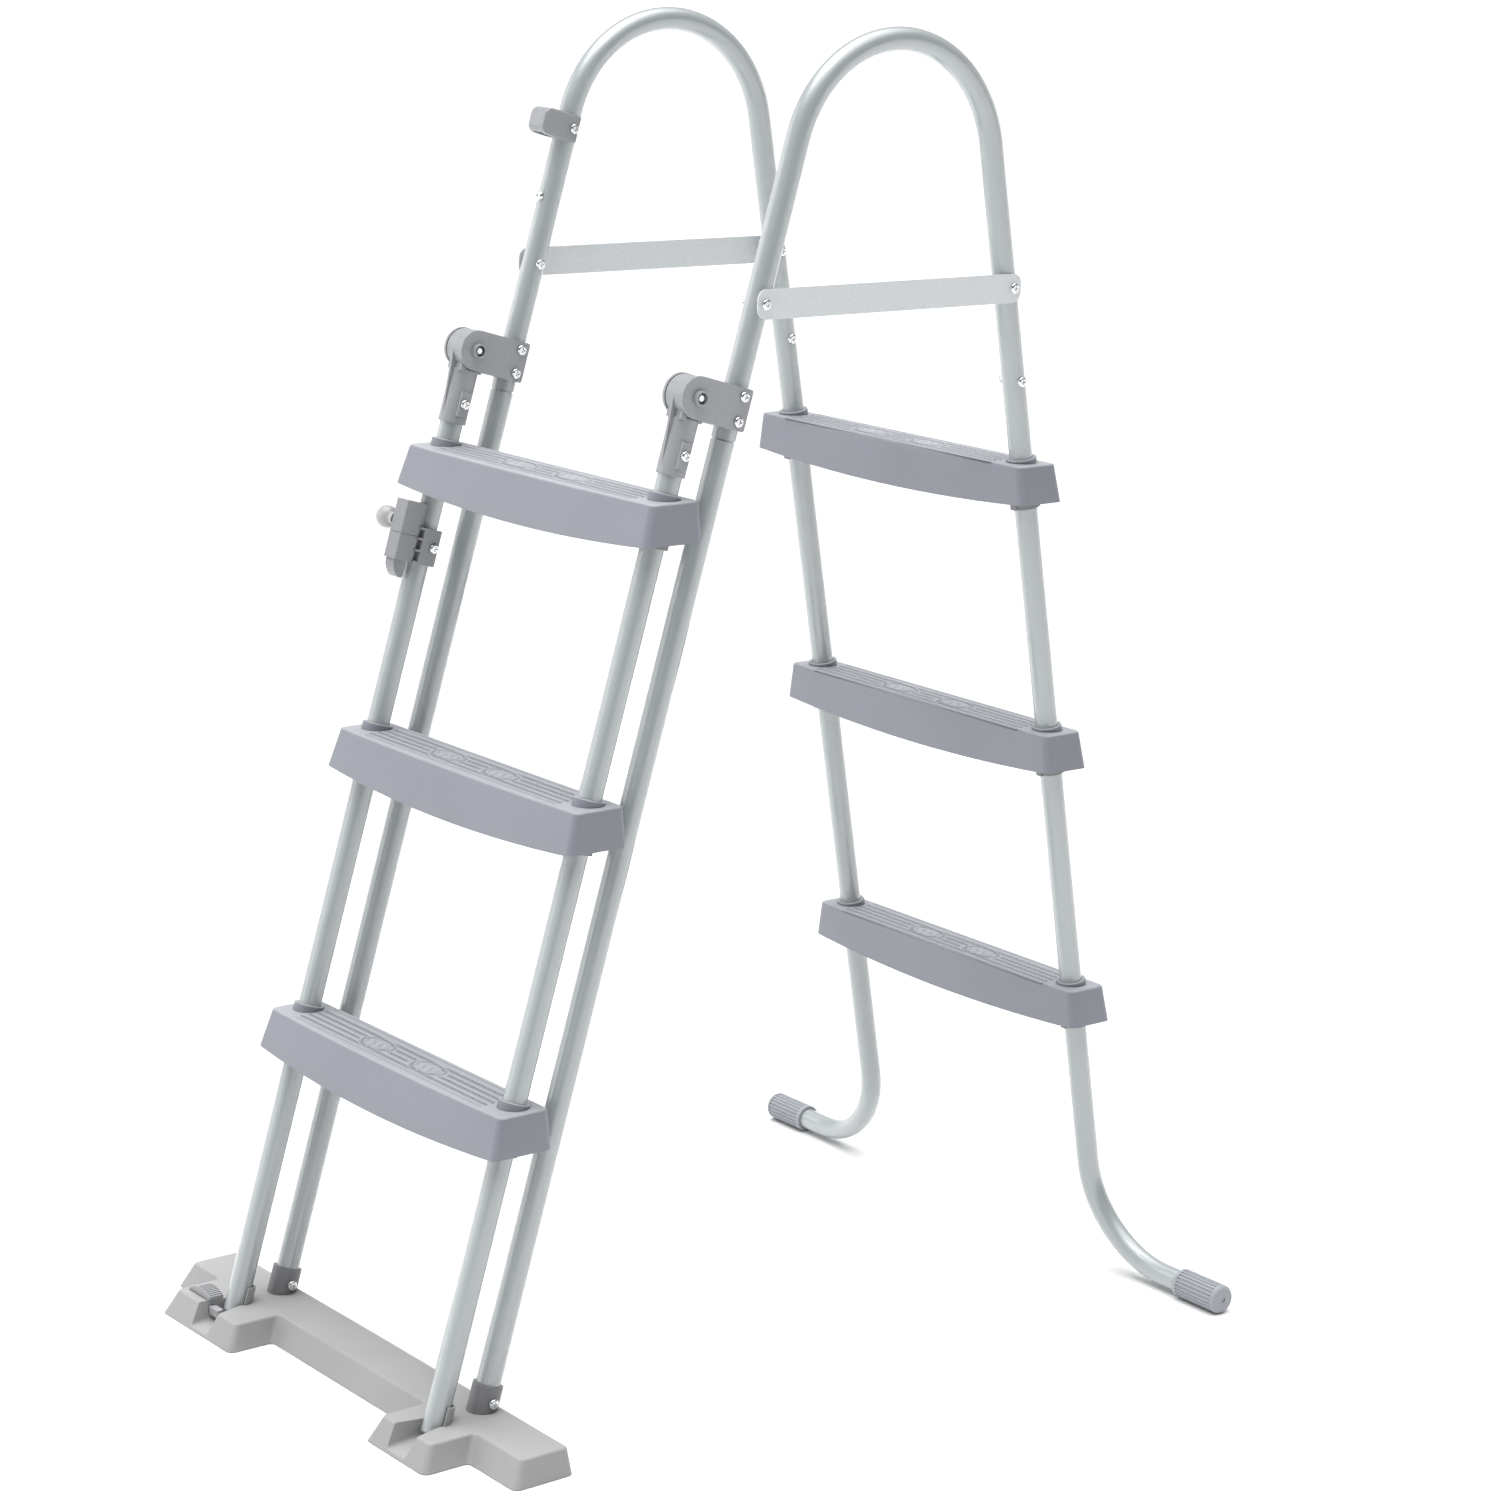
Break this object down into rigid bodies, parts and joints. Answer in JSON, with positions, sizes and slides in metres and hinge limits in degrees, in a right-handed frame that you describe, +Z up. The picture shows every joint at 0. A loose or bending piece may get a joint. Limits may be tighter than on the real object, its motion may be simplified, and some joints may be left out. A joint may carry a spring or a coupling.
{
  "type": "pool ladder",
  "caption": "Free-standing A-frame ladder for an above-ground pool: handrail arches, treads on both sides, and an outer step side that flips up and locks away.",
  "frame": {"origin": "on the floor, under the middle of the whole ladder's bounding box, with the step side down", "axes": "+Z up, +X across the ladder to the user's right when climbing from the ground side, +Y from the ground side to the pool side"},
  "size_m": [0.808, 0.9944, 1.4231],
  "materials": {
    "frame_tube": "smooth satin powder coat",
    "rail_tube": "smooth satin powder coat",
    "tread": "fine moulded grain",
    "bracket": "fine moulded grain",
    "base": "fine moulded grain",
    "latch": "fine moulded grain",
    "dark_plastic": "fine moulded grain",
    "foot_cap": "soft matt vinyl",
    "knob": "satin",
    "brace": "dull galvanised, finely speckled",
    "spring": "drawn wire",
    "fastener": "bright plated"
  },
  "bodies": {
    "frame": {"base": "base", "leg_socket_screws": "fastener", "leg_socket_left": "dark_plastic", "leg_socket_right": "dark_plastic", "outer_leg_left": "frame_tube", "outer_leg_right": "frame_tube", "handrail_left": "frame_tube", "handrail_right": "frame_tube", "inner_leg_left": "frame_tube", "inner_leg_right": "frame_tube", "foot_cap_left": "foot_cap", "foot_cap_right": "foot_cap", "side_brace_left": "brace", "side_brace_right": "brace", "brace_bolts": "fastener", "brace_nuts": "fastener", "joint_bolts": "fastener", "joint_nuts": "fastener", "bracket_bolts": "fastener", "bracket_nuts": "fastener", "pivot_bracket_left": "bracket", "pivot_bracket_right": "bracket", "pivot_pin_left": "fastener", "pivot_pin_right": "fastener", "inner_step_bottom": "tread", "inner_step_middle": "tread", "inner_step_top": "tread", "inner_step_rings_bottom": "dark_plastic", "inner_step_rings_middle": "dark_plastic", "inner_step_rings_top": "dark_plastic", "stow_catch": "bracket", "stow_catch_screw": "fastener", "stop_screw": "fastener"},
    "flip_ladder": {"step_rail_left": "rail_tube", "step_rail_right": "rail_tube", "rail_socket_left": "bracket", "rail_socket_right": "bracket", "rail_socket_screws": "fastener", "rail_plug_left": "dark_plastic", "rail_plug_right": "dark_plastic", "outer_step_bottom": "tread", "outer_step_middle": "tread", "outer_step_top": "tread", "outer_step_rings_bottom": "dark_plastic", "outer_step_rings_middle": "dark_plastic", "outer_step_rings_top": "dark_plastic", "stow_latch_housing": "bracket", "stow_latch_screw": "fastener", "stow_spring": "spring"},
    "stow_bolt": {"stow_bolt": "bracket", "stow_knob": "knob"},
    "base_latch": {"base_latch": "latch", "base_latch_thumb": "latch"}
  },
  "joints": [
    {"name": "flip", "type": "hinge", "parent": "frame", "child": "flip_ladder", "pos_m": [0, -0.1525, 1.06], "axis": [-1, 0, 0], "range_deg": [0, 180]},
    {"name": "stow_bolt_slide", "type": "slide", "parent": "flip_ladder", "child": "stow_bolt", "axis": [0, 0.2741, 0.9617], "range_m": [0, 0.016], "stiffness_N_per_m": 250, "springref_m": -0.006, "deforming": ["stow_spring"]},
    {"name": "base_latch_slide", "type": "slide", "parent": "frame", "child": "base_latch", "axis": [-1, 0, 0], "range_m": [0, 0.018]}
  ]
}
